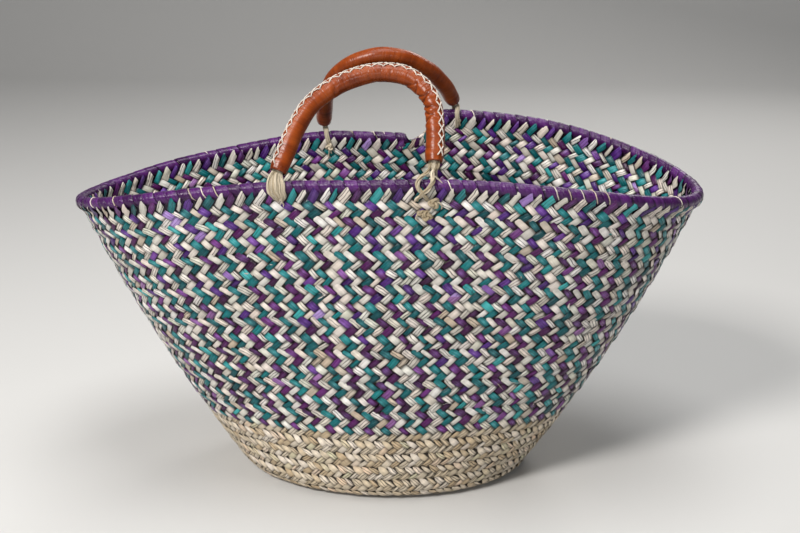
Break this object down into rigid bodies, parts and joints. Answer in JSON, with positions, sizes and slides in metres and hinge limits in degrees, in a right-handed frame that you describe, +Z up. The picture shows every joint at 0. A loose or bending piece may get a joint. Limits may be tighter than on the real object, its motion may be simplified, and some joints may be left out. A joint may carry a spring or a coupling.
{
  "type": "straw market basket",
  "caption": "Oval open-top market basket of spiral-sewn palm-leaf plait with a leaf-bound rim that steps down where the plait ends, and swinging rope handles in laced leather sleeves.",
  "frame": {"origin": "middle of the base's underside, on the surface that the basket stands on", "axes": "+X along the rim's long axis to the right in the picture, +Y towards the back wall, +Z up"},
  "size_m": [0.5897, 0.2539, 0.413],
  "materials": {
    "natural_plait": "dry palm leaf with fine fibre streaks",
    "dyed_plait": "palm leaf in purple, teal and natural, slightly glossy",
    "seam_cord": "twisted palm fibre",
    "rim_binding": "purple palm leaf, slightly glossy",
    "rope": "loose palm fibre strands",
    "leather": "smooth tanned leather",
    "lace": "plain thread"
  },
  "bodies": {
    "basket": {"base_start_strip": "natural_plait", "natural_plait_turn_1": "natural_plait", "natural_plait_turn_2": "natural_plait", "natural_plait_turn_3": "natural_plait", "natural_plait_turn_4": "natural_plait", "natural_plait_turn_5": "natural_plait", "natural_plait_turn_6": "natural_plait", "natural_plait_turn_7": "natural_plait", "natural_plait_turn_8": "natural_plait", "natural_plait_turn_9": "natural_plait", "natural_plait_turn_10": "natural_plait", "natural_plait_turn_11": "natural_plait", "dyed_plait_turn_1": "dyed_plait", "dyed_plait_turn_2": "dyed_plait", "dyed_plait_turn_3": "dyed_plait", "dyed_plait_turn_4": "dyed_plait", "dyed_plait_turn_5": "dyed_plait", "dyed_plait_turn_6": "dyed_plait", "dyed_plait_turn_7": "dyed_plait", "dyed_plait_turn_8": "dyed_plait", "natural_seam_cord": "seam_cord", "dyed_seam_cord": "seam_cord", "rim_core": "natural_plait", "rim_binding": "rim_binding", "front_left_rope_tie": "rope", "front_right_rope_tie": "rope", "back_left_rope_tie": "rope", "back_right_rope_tie": "rope"},
    "front_handle": {"front_handle_rope": "rope", "front_handle_leather_sleeve": "leather", "front_handle_lace": "lace"},
    "back_handle": {"back_handle_rope": "rope", "back_handle_leather_sleeve": "leather", "back_handle_lace": "lace"}
  },
  "joints": [
    {"name": "front_handle_swing", "type": "hinge", "parent": "basket", "child": "front_handle", "pos_m": [-0.07971, -0.11616, 0.32377], "axis": [0.9994, 0.0031, 0.0347], "range_deg": [-55, 120]},
    {"name": "back_handle_swing", "type": "hinge", "parent": "basket", "child": "back_handle", "pos_m": [-0.07156, 0.11595, 0.31734], "axis": [0.9825, -0.0008, 0.186], "range_deg": [-125, 50]}
  ]
}
